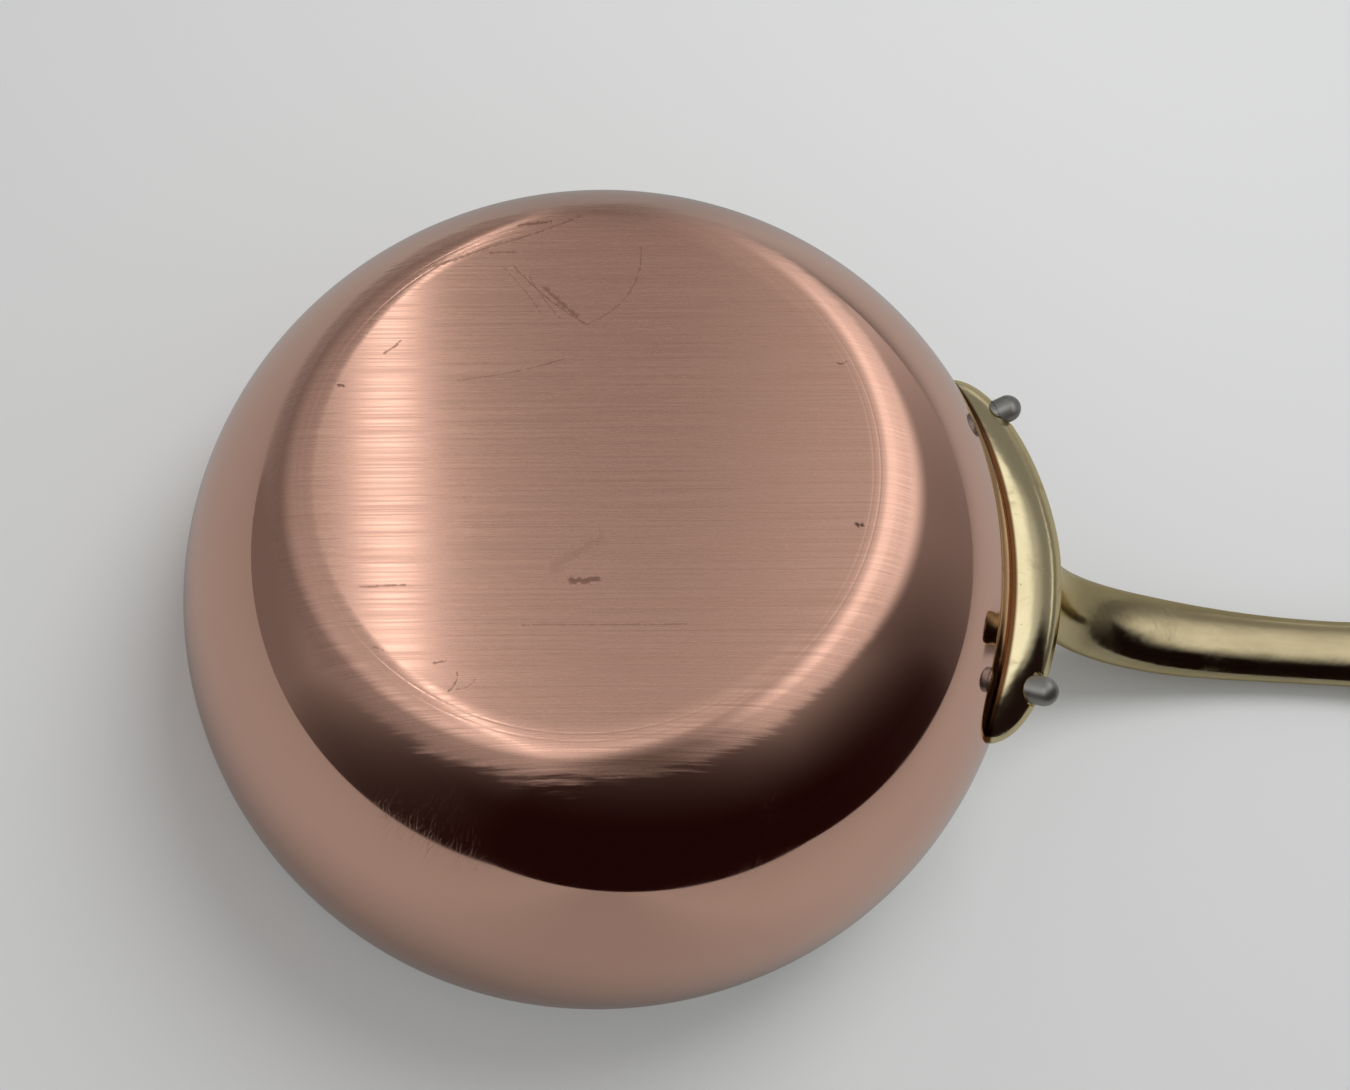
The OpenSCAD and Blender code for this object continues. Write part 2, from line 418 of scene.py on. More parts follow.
def build_brush_lines():
    """Fine parallel lines with sparse darker strokes. Vector X runs across the lines and Y along them."""
    sheet, given, made = new_group(
        "brush_lines",
        [("Vector", VECTOR, None), ("Across", FLOAT, 3000.0), ("Along", FLOAT, 60.0)],
        ["Lines", "Strokes", "Bands"],
    )
    x, y, _ = sheet.parts(given["Vector"])

    def stretched(across, along):
        return sheet.plane(x * (given["Across"] * across), y * (given["Along"] * along))

    fine = sheet.noise(stretched(1.0, 1.0), 1.0, detail=4.0, rough=0.75)
    sheet.feed(made["Lines"], fine.smooth(0.32, 0.68))
    sparse = sheet.noise(stretched(1.3, 0.8), 1.0, detail=1.0)
    sheet.feed(made["Strokes"], sparse.smooth(0.64, 0.76))
    sheet.feed(made["Bands"], sheet.noise(stretched(0.14, 0.3), 1.0))


# Turn about a slanted axis, and stretch, of each set of scratches
SCRATCH_SETS = ((0.5, 14.0), (1.9, 11.0), (2.7, 17.0))
SCRATCH_AXIS = (0.3, 0.5, 0.8)
SCRATCH_WIDTH = 0.006


def build_handling():
    """Clouds of haze, and hair-thin random scratches that a much used metal carries."""
    sheet, given, made = new_group(
        "handling",
        [("Vector", VECTOR, None), ("Cloud Scale", FLOAT, 40.0), ("Scratch Scale", FLOAT, 120.0)],
        ["Clouds", "Scratches"],
    )
    vector, scale = given["Vector"], given["Scratch Scale"]
    clouds = sheet.noise(vector, given["Cloud Scale"], detail=4.0, rough=0.6, distort=0.4)
    sheet.feed(made["Clouds"], clouds.smooth(0.35, 0.72))
    lines = []
    for turn, stretch in SCRATCH_SETS:
        turned = sheet.value("ShaderNodeVectorRotate", {"Vector": vector, "Angle": turn, "Axis": SCRATCH_AXIS})
        drawn = sheet.vector("MULTIPLY", turned, (1.0, stretch, 1.0))
        hair = sheet.noise(drawn, scale, detail=1.0, distort=0.6) - 0.5
        lines.append(1.0 - abs(hair).smooth(0.0, SCRATCH_WIDTH))
    breaks = sheet.noise(vector, scale * 0.6).smooth(0.55, 0.7)
    sheet.feed(made["Scratches"], sheet.largest(*lines) * breaks)


def build_scuff():
    """One drawn mark: a thin broken line from one point to another on the base."""
    sheet, given, made = new_group(
        "scuff",
        [("Vector", VECTOR, None), ("Start", VECTOR, None), ("End", VECTOR, None),
         ("Width", FLOAT, 0.0004), ("Bow", FLOAT, 0.0)],
        ["Mark"],
    )
    run = sheet.vector("SUBTRACT", given["End"], given["Start"])
    away = sheet.vector("SUBTRACT", given["Vector"], given["Start"])
    reached, whole = sheet.vector("DOT_PRODUCT", away, run), sheet.vector("DOT_PRODUCT", run, run)
    share = sheet.math("DIVIDE", reached, whole, clamp=True)
    run_x, run_y, _ = sheet.parts(run)
    across = sheet.plane(run_y * -1.0, run_x)
    arch = share * (1.0 - share) * (given["Bow"] * 4.0)
    near = sheet.vector("ADD", sheet.vector("SCALE", run, scale=share), sheet.vector("SCALE", across, scale=arch))
    wobble = sheet.noise(given["Vector"], 900.0, detail=3.0, rough=0.7)
    worn = given["Width"] * wobble.smooth(0.3, 0.75, 0.15, 1.5)
    gap = sheet.vector("DISTANCE", away, near) / worn
    sheet.feed(made["Mark"], 1.0 - gap.smooth(0.2, 1.0))


# ---------------------------------------------------------------- metals


class Metal(NodeTree):
    """A new metal material, with handling marks of its own scale."""

    def __init__(self, name, cloud_scale, scratch_scale):
        material = bpy.data.materials.new(name)
        material.use_nodes = True
        super().__init__(material.node_tree)
        self.shader = material.node_tree.nodes["Principled BSDF"].inputs
        self.shader["Metallic"].default_value = 1.0
        self.at = self.place()
        scales = {"Cloud Scale": cloud_scale, "Scratch Scale": scratch_scale}
        marks = use_group(self, "handling", {"Vector": self.at, **scales})
        self.clouds, self.scratches = marks["Clouds"], marks["Scratches"]

    def brush(self, across, along):
        grain = self.value("ShaderNodeUVMap", uv_map="grain")
        return use_group(self, "brush_lines", {"Vector": grain, "Across": across, "Along": along})

    def stretch_highlight(self, amount):
        """Draws highlights out across the grain."""
        self.shader["Anisotropic"].default_value = amount
        self.feed(self.shader["Tangent"], self.value("ShaderNodeTangent", direction_type="UV_MAP", uv_map="grain"))

    def coat(self, colour, rough, height, strength, depth):
        self.feed(self.shader["Base Color"], colour)
        self.feed(self.shader["Roughness"], rough)
        bump = {"Height": height, "Strength": strength, "Distance": depth}
        self.feed(self.shader["Normal"], self.value("ShaderNodeBump", bump))


def toned(colour, share):
    return tuple(share * c for c in colour)


COPPER_STROKE = (0.60, 0.32, 0.22)
COPPER_HAZE = (0.90, 0.53, 0.40)
COPPER_MARK = (0.26, 0.13, 0.09)
STEEL_HAZE = (0.58, 0.55, 0.50)
BRONZE_HAZE = (0.66, 0.56, 0.32)
BRONZE_SPOT = (0.22, 0.15, 0.08)
BRONZE_TINT = (0.95, 0.85, 0.62, 1.0)
# Colour of grime and painted shade in the flange's joint with the wall
JOINT_GRIME_AND_SHADE = (0.13, 0.055, 0.02)
BRUSH_DEPTH = 0.02 * MM
CAST_DEPTH = 0.2 * MM
PIT_DEPTH = 0.25 * MM

# Two fine grooves turned into the edge of the base: their radii and half their width
GROOVES = (57.3 * MM, 58.7 * MM)
GROOVE_HALF = 0.35 * MM

# Marks on the base, in millimetres from its middle: start, end, width, bow, strength
BASE_MARKS = (
    ((-34.6, -46.5), (-22.1, -51.7), 0.7, 0.02, 0.6),
    ((-22.1, -51.7), (-3.0, -59.7), 0.6, 0.03, 0.6),
    ((-16.0, -57.4), (-9.5, -58.2), 1.0, 0.0, 0.8),
    ((-22.2, -49.8), (-16.6, -50.0), 0.5, 0.0, 0.6),
    ((-16.9, -46.4), (-1.5, -31.7), 0.4, 0.04, 0.6),
    ((-19.3, -46.4), (-10.9, -34.5), 0.35, -0.03, 0.45),
    ((-10.1, -40.6), (-3.1, -33.4), 1.0, 0.0, 0.65),
    ((-13.4, -43.7), (-6.6, -33.0), 0.35, 0.03, 0.5),
    ((10.5, -50.8), (-1.1, -31.2), 0.4, -0.16, 0.5),
    ((-27.1, -18.0), (-5.5, -22.9), 0.35, 0.03, 0.55),
    ((-52.0, -17.1), (-50.8, -16.8), 0.6, 0.0, 0.8),
    ((-43.1, -24.7), (-40.0, -27.6), 0.4, 0.05, 0.5),
    ((-3.1, 26.9), (2.3, 26.9), 1.3, 0.0, 0.75),
    ((-6.1, 23.9), (2.5, 18.3), 2.6, 0.0, 0.22),
    ((-25.1, 48.9), (-23.8, 45.4), 0.4, 0.15, 0.6),
    ((-23.7, 48.6), (-20.2, 46.5), 0.35, 0.15, 0.5),
    ((-28.3, 43.4), (-26.0, 43.1), 0.45, 0.0, 0.6),
    ((-40.0, 40.1), (-38.2, 40.8), 0.45, 0.0, 0.6),
    ((-11.9, 36.0), (19.1, 36.1), 0.3, 0.0, 0.45),
    ((-43.7, 27.9), (-34.9, 27.6), 0.35, 0.0, 0.45),
    ((52.9, 15.7), (53.9, 15.8), 0.8, 0.0, 1.0),
    ((51.4, -21.3), (53.1, -21.8), 0.45, 0.2, 0.7),
)


def base_marks(sheet, flat_place):
    """Every drawn mark on the base in one mask."""
    marks = []
    for start, end, width, bow, strength in BASE_MARKS:
        drawn = {
            "Vector": flat_place, "Start": (*toned(start, MM), 0), "End": (*toned(end, MM), 0),
            "Width": width * MM, "Bow": bow,
        }
        marks.append(use_group(sheet, "scuff", drawn)["Mark"] * strength)
    return sheet.largest(*marks)


def build_copper(finish, bowl):
    sheet = Metal("worked_copper", 34.0, 60.0)
    brush = sheet.brush(1900.0, 15.0)
    x, y, z = sheet.parts(sheet.at)
    flat_place = sheet.plane(x, y)
    radius = sheet.vector("LENGTH", flat_place)

    # The brushed zone ends a little way up the wall, in strokes along the grain
    ragged = sheet.noise(sheet.vector("MULTIPLY", sheet.at, (60.0, 900.0, 60.0)), 1.0, detail=3.0, rough=0.7)
    to_sides = (y / radius) ** 4.0
    spread = to_sides * (9.0 * MM) + 1.2 * MM
    edge = radius + (ragged - 0.5) * spread
    edge_at = bowl.base_radius + bowl.corner * 1.6
    brushed = edge.smooth(edge_at - 1.6 * MM, edge_at + 2.4 * MM, 1.0, 0.0)
    underside = z.smooth(1.0 * MM, 4.0 * MM, 1.0, 0.0)
    marks = base_marks(sheet, flat_place) * underside

    lined = sheet.mix(brush["Lines"] * 0.35, finish.copper, finish.copper_deep)
    stroked = sheet.mix(brush["Strokes"] * 0.35, lined, COPPER_STROKE)
    bands = brush["Bands"].smooth(0.3, 0.75, 0.0, 0.25)
    brushed_colour = sheet.mix(bands, stroked, finish.copper_deep)
    polished_colour = sheet.mix(sheet.clouds * 0.5, finish.copper, COPPER_HAZE)
    colour = sheet.mix(brushed, polished_colour, brushed_colour)
    colour = sheet.mix(marks * 0.9, colour, COPPER_MARK)

    polished_rough = 0.02 + sheet.clouds * 0.02 + sheet.scratches * 0.10
    brushed_rough = 0.19 + brush["Lines"] * 0.12 + marks * 0.2
    rough = brushed * brushed_rough + (1.0 - brushed) * polished_rough

    height = brushed * (brush["Lines"] - marks) - sheet.scratches * 0.12
    for groove in GROOVES:
        height = height - abs(radius - groove).smooth(GROOVE_HALF, 0.0) * underside * 2.0
    sheet.coat(colour, rough, height, 0.35, BRUSH_DEPTH)
    sheet.stretch_highlight(1.0)


def build_lining_steel(finish):
    sheet = Metal("lining_steel", 26.0, 45.0)
    brush = sheet.brush(2200.0, 30.0)
    colour = sheet.mix(brush["Lines"] * 0.5, finish.steel, toned(finish.steel, 0.86))
    colour = sheet.mix(brush["Strokes"] * 0.3, colour, toned(finish.steel, 0.7))
    colour = sheet.mix(sheet.clouds * 0.18, colour, STEEL_HAZE)
    rough = 0.27 + brush["Lines"] * 0.08 + sheet.clouds * 0.06
    sheet.coat(colour, rough, brush["Lines"] - sheet.scratches, 0.3, BRUSH_DEPTH)
    sheet.stretch_highlight(0.8)


def build_bronze(finish, bowl):
    sheet = Metal("cast_bronze", 70.0, 90.0)
    drawn = sheet.vector("MULTIPLY", sheet.at, (0.35, 1.0, 1.0))
    patches = sheet.noise(drawn, 85.0, detail=6.0, rough=0.68, distort=0.8).smooth(0.56, 0.70)
    spots = sheet.noise(sheet.at, 700.0, rough=0.6).smooth(0.70, 0.78)
    hazy = sheet.mix(sheet.clouds * 0.35, finish.bronze, BRONZE_HAZE)
    stained = sheet.mix(patches * 0.35, hazy, finish.bronze_dull)
    colour = sheet.mix(spots * 0.6, stained, BRONZE_SPOT)

    # The underside of the grip keeps its patina, which also serves as painted shade: the grip is darker where it faces
    # down
    patina_and_shade = sheet.value("ShaderNodeAttribute", output="Fac", attribute_name="underside")
    uneven = sheet.noise(drawn, 60.0, detail=4.0, rough=0.6, distort=0.5).smooth(0.25, 0.65, 0.75, 1.0)
    colour = sheet.mix(patina_and_shade * uneven, colour, finish.patina_and_shade)

    # Grime and painted shade in the joint along the wall: darker within 1.4 mm of the wall
    wall = Wall(bowl)
    x, y, z = sheet.parts(sheet.at)
    out = sheet.vector("LENGTH", sheet.plane(x, y)) - wall.centre.x
    from_centre = sheet.vector("LENGTH", sheet.plane(out, z - wall.centre.z))
    grime_and_shade = (from_centre - wall.radius).smooth(0.7 * MM, 1.4 * MM, 1.0, 0.0)
    colour = sheet.mix(grime_and_shade, colour, JOINT_GRIME_AND_SHADE)

    rough = 0.12 + sheet.clouds * 0.10 + patches * 0.14 + sheet.scratches * 0.10
    height = sheet.noise(drawn, 160.0) * 2.0 + spots * -0.5 - sheet.scratches * 0.3
    sheet.coat(colour, rough, height, 0.25, CAST_DEPTH)
    sheet.shader["Specular Tint"].default_value = BRONZE_TINT


def build_rivet_steel(finish):
    sheet = Metal("rivet_steel", 260.0, 300.0)
    pits = sheet.noise(sheet.at, 1500.0, detail=3.0, rough=0.65).smooth(0.55, 0.75)
    colour = sheet.mix(sheet.clouds, finish.rivet, toned(finish.rivet, 1.35))
    colour = sheet.mix(pits * 0.6, colour, toned(finish.rivet, 0.5))
    rough = 0.36 + pits * 0.2
    sheet.coat(colour, rough, sheet.noise(sheet.at, 900.0, detail=4.0, rough=0.6), 0.5, PIT_DEPTH)


# ---------------------------------------------------------------- pieces


# The bowl: how near a point counts as on the lip, the bevel's steps, and the fold in degrees that stays sharp
LEVEL_SLACK, LIP_SLACK, LIP_STEPS, BOWL_FOLD = 1e-6, 1e-5, 3, 35
# Straight grain ends here, and the grain beyond it is stretched to these radii
GRAIN_RADIUS, GRAIN_HEIGHT = 0.080, 0.025
WALL_GRAIN, LATHE_GRAIN = 0.09, 0.07

# The handle: the cutter for its back, the reach of the other cutters, its polish and its sharp fold
CORE_SWEEP, CORE_STEPS, CORE_ABOVE = math.radians(52), 60, 0.02
HOLE_REACH, SEAT_REACH = 0.02, 0.012
POLISH, POLISH_ROUNDS, HANDLE_FOLD = 0.5, 8, 50

# The rivets' steps and their sharp fold
DOME_STEPS, SIDE_STEPS, CROWN_STEPS, RIVET_FOLD = 14, 4, 18, 40


def layer_profile(bm, bowl, wall, depth, thickness, base_steps):
    """Draws the closed section of one layer of the bowl, from the axis out to the rim and back."""
    inner = depth + thickness
    first = bm.verts.new((0, 0, depth))
    if depth:
        point = draw_line(bm, first, (bowl.base_radius, 0, depth), base_steps)
        point = draw_arc(bm, point, wall.corner_centre, wall.start, bowl.corner_steps)
        point = draw_arc(bm, point, wall.centre, math.pi / 2 - wall.start, bowl.wall_steps)
    else:
        point = draw_line(bm, first, (bowl.shoulder_start, 0, 0), base_steps)
        point = draw_arc(bm, point, wall.shoulder_centre, bowl.shoulder_turn, bowl.corner_steps)
        point = draw_arc(bm, point, wall.round_centre, wall.round_end - bowl.shoulder_turn, bowl.corner_steps)
        point = draw_arc(bm, point, wall.centre, math.pi / 2 - wall.round_end, bowl.wall_steps)
    point = draw_line(bm, point, (bowl.rim_radius - inner, 0, bowl.height))
    point = draw_arc(bm, point, wall.centre, wall.start - math.pi / 2, bowl.wall_steps)
    point = draw_arc(bm, point, wall.corner_centre, -wall.start, bowl.corner_steps)
    draw_line(bm, point, (0, 0, inner), base_steps)


def turned_layer(name, bowl, depth, thickness, rim_round, lay, base_steps):
    wall = Wall(bowl)
    bm = bmesh.new()
    layer_profile(bm, bowl, wall, depth, thickness, base_steps)
    turn_profile(bm, bowl.turns)
    if rim_round:
        lip = bowl.rim_radius - depth
        rim = [
            e for e in bm.edges
            if all(abs(v.co.z - bowl.height) < LEVEL_SLACK and abs(v.co.xy.length - lip) < LIP_SLACK for v in e.verts)
        ]
        bmesh.ops.bevel(
            bm, geom=rim, offset=rim_round, offset_type="OFFSET", segments=LIP_STEPS, profile=0.5, affect="EDGES",
            material=-1,
        )
    mesh = mesh_from(bm, name)
    smooth_by_angle(mesh, BOWL_FOLD)
    map_grain(mesh, lay)
    return new_piece(name, mesh)


def unbroken_turn(point, middle):
    """A point's distance from the axis and its angle round it, without a jump inside a face."""
    angle = math.atan2(middle.y, middle.x)
    turned = Matrix.Rotation(-angle, 2) @ point.xy
    return turned.length, angle + math.atan2(turned.y, turned.x)


def base_grain(point, middle):
    """Straight grain along X on and near the base, and round the bowl elsewhere."""
    if middle.xy.length < GRAIN_RADIUS and middle.z < GRAIN_HEIGHT:
        return (point.y, point.x)
    return (point.z, unbroken_turn(point, middle)[1] * WALL_GRAIN)


def lathe_grain(point, middle):
    """Grain that runs round the bowl, on the flat too."""
    distance, turn = unbroken_turn(point, middle)
    return (distance + point.z, turn * LATHE_GRAIN)


class PAN_OT_finishes(bpy.types.Operator):
    """Builds the shared node groups and the four metals"""

    bl_idname = "saute_pan.finishes"
    bl_label = "Metals"

    def execute(self, context):
        pan = settings()
        build_brush_lines()
        build_handling()
        build_scuff()
        build_copper(pan.finish, pan.bowl)
        build_lining_steel(pan.finish)
        build_bronze(pan.finish, pan.bowl)
        build_rivet_steel(pan.finish)
        return {"FINISHED"}


class PAN_OT_copper_bowl(bpy.types.Operator):
    """Turns the copper bowl with its brushed base and polished wall"""

    bl_idname = "saute_pan.copper_bowl"
    bl_label = "Copper bowl"

    def execute(self, context):
        bowl = settings().bowl
        piece = turned_layer("copper_bowl", bowl, 0.0, bowl.copper, bowl.rim_round, base_grain, 6)
        piece.data.materials.append(bpy.data.materials["worked_copper"])
        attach(piece, BODY)
        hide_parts("copper_shell")
        return {"FINISHED"}


class PAN_OT_lining(bpy.types.Operator):
    """Turns the thin steel lining"""

    bl_idname = "saute_pan.lining"
    bl_label = "Steel lining"

    def execute(self, context):
        bowl = settings().bowl
        piece = turned_layer("bowl_lining", bowl, bowl.copper, bowl.lining, 0.0, lathe_grain, 24)
        piece.data.materials.append(bpy.data.materials["lining_steel"])
        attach(piece, BODY)
        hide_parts("steel_lining")
        return {"FINISHED"}


def rounded_power(value, power):
    return math.copysign(abs(value) ** (2 / power), value)


def ease(a, b, share):
    return a + (b - a) * (1 - math.cos(math.pi * min(1.0, max(0.0, share)))) / 2


class Grip:
    """The handle's middle line and its size along it, in the XZ plane."""

    FLARE, BELLY, WAIST, END = 0.4, 0.58, 0.82, 0.96
    POWER = 2.05

    def __init__(self, handle, bowl, wall):
        self.handle = handle
        flange_z = bowl.height - handle.flange_drop
        self.wall_front = wall.axis + math.sqrt(wall.radius**2 - handle.flange_drop**2)
        root = Vector((self.wall_front + handle.neck_out, 0, flange_z + handle.neck_high))
        tip = Vector((bowl.rim_radius + handle.reach, 0, bowl.height + handle.rise))
        neck = Vector((math.cos(handle.neck_lean), 0, math.sin(handle.neck_lean)))
        last = Vector((math.cos(handle.tip_lean), 0, math.sin(handle.tip_lean)))
        self.points = (root, root + handle.neck_pull * neck, tip - handle.tip_pull * last, tip)
        self.cap = handle.end_size[0] / 2 / (3 * handle.tip_pull)
        self.tip = tip

    def middle(self, t):
        a, b, c, d = self.points
        return (1 - t) ** 3 * a + 3 * (1 - t) ** 2 * t * b + 3 * (1 - t) * t**2 * c + t**3 * d

    def slope(self, t):
        a, b, c, d = self.points
        return (3 * (1 - t) ** 2 * (b - a) + 6 * (1 - t) * t * (c - b) + 3 * t**2 * (d - c)).normalized()

    def size(self, t, index):
        h = self.handle
        stops = ((0.0, h.neck_size), (self.BELLY, h.belly_size), (self.WAIST, h.waist_size), (self.END, h.end_size))
        size = h.end_size[index]
        for (t0, a), (t1, b) in zip(stops, stops[1:]):
            if t0 <= t < t1:
                size = ease(a[index], b[index], (t - t0) / (t1 - t0))
                break
        return size + (ease(h.neck_flare, 0.0, t / self.FLARE) if index == 0 else 0.0)

    def place(self, t, scale, turn):
        """A point of the skin at a share of the line and an angle round it."""
        along = self.slope(t)
        up = Vector((-along.z, 0, along.x))
        side = Vector((0, 1, 0))
        half = Vector((self.size(t, 0), self.size(t, 1))) / 2 * scale
        return (
            self.middle(t)
            + side * half.x * rounded_power(math.cos(turn), self.POWER)
            + up * half.y * rounded_power(math.sin(turn), self.POWER)
        )


def loft_grip(grip, spokes=56, rings=110, cap_rings=16, last_turn=math.radians(84)):
    """Extrudes a circle ring by ring along the handle's line."""
    bm = bmesh.new()
    spoke = bm.verts.layers.int.new("spoke")
    circle = bmesh.ops.create_circle(bm, cap_ends=False, segments=spokes, radius=1.0)["verts"]
    for index, vert in enumerate(circle):
        vert[spoke] = index
    stations = [((1 - grip.cap) * i / rings, 1.0) for i in range(rings + 1)]
    for i in range(1, cap_rings + 1):
        turn = last_turn * i / cap_rings
        stations.append((1 - grip.cap * (1 - math.sin(turn)), math.cos(turn)))
    ring, edges = circle, bm.edges[:]
    first_edges = edges
    for number, (t, scale) in enumerate(stations):
        if number:
            grown = bmesh.ops.extrude_edge_only(bm, edges=edges)["geom"]
            ring = [v for v in grown if isinstance(v, bmesh.types.BMVert)]
            fresh = set(ring)
            edges = [e for e in grown if isinstance(e, bmesh.types.BMEdge) and all(v in fresh for v in e.verts)]
        for vert in ring:
            vert.co = grip.place(t, scale, 2 * math.pi * vert[spoke] / spokes)
    for rim in (first_edges, edges):
        bmesh.ops.contextual_create(bm, geom=rim)
    bmesh.ops.recalc_face_normals(bm, faces=bm.faces[:])
    return mesh_from(bm, "grip")


def shape_flange(handle, bowl, grip):
    """Presses a ball into the flange: a superellipse in plan and in section."""
    bm = bmesh.new()
    bmesh.ops.create_uvsphere(bm, u_segments=160, v_segments=80, radius=1.0)
    front = grip.wall_front + handle.flange_thickness
    middle = Vector((front - handle.flange_bulge, 0, bowl.height - handle.flange_drop))
    for vert in bm.verts:
        level = math.asin(max(-1.0, min(1.0, vert.co.z)))
        turn = math.atan2(vert.co.y, vert.co.x)
        shrink = rounded_power(math.cos(level), handle.flange_power)
        vert.co = middle + Vector((
            handle.flange_bulge * shrink * rounded_power(math.cos(turn), handle.flange_plan),
            handle.flange_width / 2 * shrink * rounded_power(math.sin(turn), handle.flange_plan),
            handle.flange_height / 2 * rounded_power(math.sin(level), handle.flange_power),
        ))
    bmesh.ops.recalc_face_normals(bm, faces=bm.faces[:])
    return mesh_from(bm, "flange")


def rivet_frame(rivet, handle, wall, side):
    """Turns +Z into a rivet's axis, with zero at the centre of the wall's arc."""
    drop = math.asin((handle.flange_drop + rivet.low) / wall.radius)
    return (
        Matrix.Rotation(side * rivet.turn, 4, "Z")
        @ Matrix.Translation(wall.centre)
        @ Matrix.Rotation(math.pi / 2 + drop, 4, "Y")
    )


def wall_core_mesh(bowl, wall, gap):
    """The space inside the wall's outer skin, as a turned solid that cuts the flange's back."""
    bm = bmesh.new()
    foot = Vector((math.cos(CORE_SWEEP), 0, -math.sin(CORE_SWEEP)))
    first = bm.verts.new(wall.centre + foot * (wall.radius + gap))
    top = draw_arc(bm, first, wall.centre, CORE_SWEEP, CORE_STEPS)
    top = draw_line(bm, top, (top.co.x, 0, bowl.height + CORE_ABOVE))
    draw_line(bm, top, (0, 0, bowl.height + CORE_ABOVE))
    draw_line(bm, first, (0, 0, first.co.z))
    turn_profile(bm, bowl.turns)
    return mesh_from(bm, "wall_core")


def cylinder_mesh(radius, low, high, place, segments=64):
    bm = bmesh.new()
    bmesh.ops.create_cone(
        bm, cap_ends=True, segments=segments, radius1=radius, radius2=radius, depth=high - low,
        matrix=place @ Matrix.Translation((0, 0, (low + high) / 2)),
    )
    bmesh.ops.recalc_face_normals(bm, faces=bm.faces[:])
    return mesh_from(bm, "cutter")


def mark_underside(mesh, start, fade):
    """Writes where the grip faces down: 1 there, 0 on its top and near the flange."""
    marks = mesh.attributes.new("underside", "FLOAT", "POINT")
    for vert, mark in zip(mesh.vertices, marks.data):
        along = min(1.0, max(0.0, (vert.co.x - start) / fade))
        mark.value = along * min(1.0, max(0.0, 0.5 - vert.normal.z))


class PAN_OT_handle(bpy.types.Operator):
    """Casts the handle: flange, neck and grip in one skin, fitted to the wall"""

    bl_idname = "saute_pan.handle"
    bl_label = "Cast handle"

    def execute(self, context):
        pan = settings()
        handle, bowl, rivet = pan.handle, pan.bowl, pan.rivet
        wall = Wall(bowl)
        grip = Grip(handle, bowl, wall)
        bm = bmesh.new()
        for part in (shape_flange(handle, bowl, grip), loft_grip(grip)):
            bm.from_mesh(part)
            bpy.data.meshes.remove(part)
        piece = new_piece("bronze_handle", mesh_from(bm, "bronze_handle"))

        skin = piece.modifiers.new("Cast skin", "REMESH")
        skin.mode, skin.voxel_size, skin.use_smooth_shade = "VOXEL", handle.skin_cell, True
        apply_modifiers(piece)
        hole = Matrix.Translation((grip.tip.x - handle.end_size[0] / 2, 0, grip.tip.z))
        cut_away(piece, cylinder_mesh(handle.hole_radius, -HOLE_REACH, HOLE_REACH, hole))
        for side in (1, -1):
            seat = rivet_frame(rivet, handle, wall, side)
            low = wall.radius + rivet.seat
            cut_away(piece, cylinder_mesh(rivet.head_radius + rivet.seat_gap, low, low + SEAT_REACH, seat))
        soft = piece.modifiers.new("Polish", "SMOOTH")
        soft.factor, soft.iterations = POLISH, POLISH_ROUNDS
        apply_modifiers(piece)
        cut_away(piece, wall_core_mesh(bowl, wall, handle.fit_gap))
        smooth_by_angle(piece.data, HANDLE_FOLD)
        mark_underside(piece.data, bowl.rim_radius + handle.patina_and_shade_start, handle.patina_and_shade_start)
        piece.data.materials.clear()
        piece.data.materials.append(bpy.data.materials["cast_bronze"])
        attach(piece, BODY)
        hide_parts("cast_handle")
        return {"FINISHED"}


class PAN_OT_rivets(bpy.types.Operator):
    """Turns the two rivets, each with a tall outer head and a broad inner one"""

    bl_idname = "saute_pan.rivets"
    bl_label = "Rivets"

    def execute(self, context):
        pan = settings()
        rivet, bowl = pan.rivet, pan.bowl
        wall = Wall(bowl)
        inner = wall.radius - bowl.copper - bowl.lining
        seat = wall.radius + rivet.seat
        rise = rivet.inner_height - rivet.inner_edge
        dome = (rivet.inner_radius**2 + rise**2) / 2 / rise
        for name, side in (("left", 1), ("right", -1)):
            bm = bmesh.new()
            first = bm.verts.new((0, 0, inner - rivet.inner_height))
            sweep = math.asin(rivet.inner_radius / dome)
            point = draw_arc(bm, first, (0, 0, first.co.z + dome), sweep, DOME_STEPS)
            lip = math.sqrt(inner**2 - rivet.inner_radius**2)
            point = draw_line(bm, point, (rivet.inner_radius, 0, lip))
            for radius, height in ((rivet.shank_radius, inner), (rivet.shank_radius, seat), (rivet.head_radius, seat)):
                point = draw_line(bm, point, (radius, 0, height))
            point = draw_line(bm, point, (rivet.head_radius, 0, seat + rivet.head_height), SIDE_STEPS)
            draw_arc(bm, point, (0, 0, seat + rivet.head_height), math.pi / 2, CROWN_STEPS)
            turn_profile(bm, rivet.steps)
            bmesh.ops.transform(bm, matrix=rivet_frame(rivet, pan.handle, wall, side), verts=bm.verts[:])
            mesh = mesh_from(bm, "rivet_" + name)
            smooth_by_angle(mesh, RIVET_FOLD)
            mesh.materials.append(bpy.data.materials["rivet_steel"])
            piece = new_piece("steel_rivet_" + name, mesh)
            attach(piece, BODY)
            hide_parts("rivet_" + name)
        return {"FINISHED"}


# ---------------------------------------------------------------- stage


# Levels of the light that metals see in the room round them. Each rise has its start, its end and its gain
ROOF_LIGHT = 0.249
ROOF_RISES = ((-0.057, -0.215, 0.175), (-0.023, 0.174, 0.259), (0.20, 0.98, 1.25), (-0.235, -0.285, -0.12))
STRIP_LIGHT = 2.25
SHADE_LIGHT = 0.168
OPENING_LIGHT = 0.0124
UNDER_LIGHT = 0.9
LIGHT_LIMIT = 1.15
WARMTH, WARM_LEAST = 0.009, 0.003

# The dark card, a glowing sheet that paints reflections in the metals: its two levels, its half size and its middle in
# the upturned pan's room
CARD_GREY, CARD_DARK = 0.23, 0.012
CARD_WARMTH = 0.006
CARD_HALF = (0.28, 0.35, 1.0, 1.0)
CARD_MIDDLE = (0.458, 0.13, 0.090)

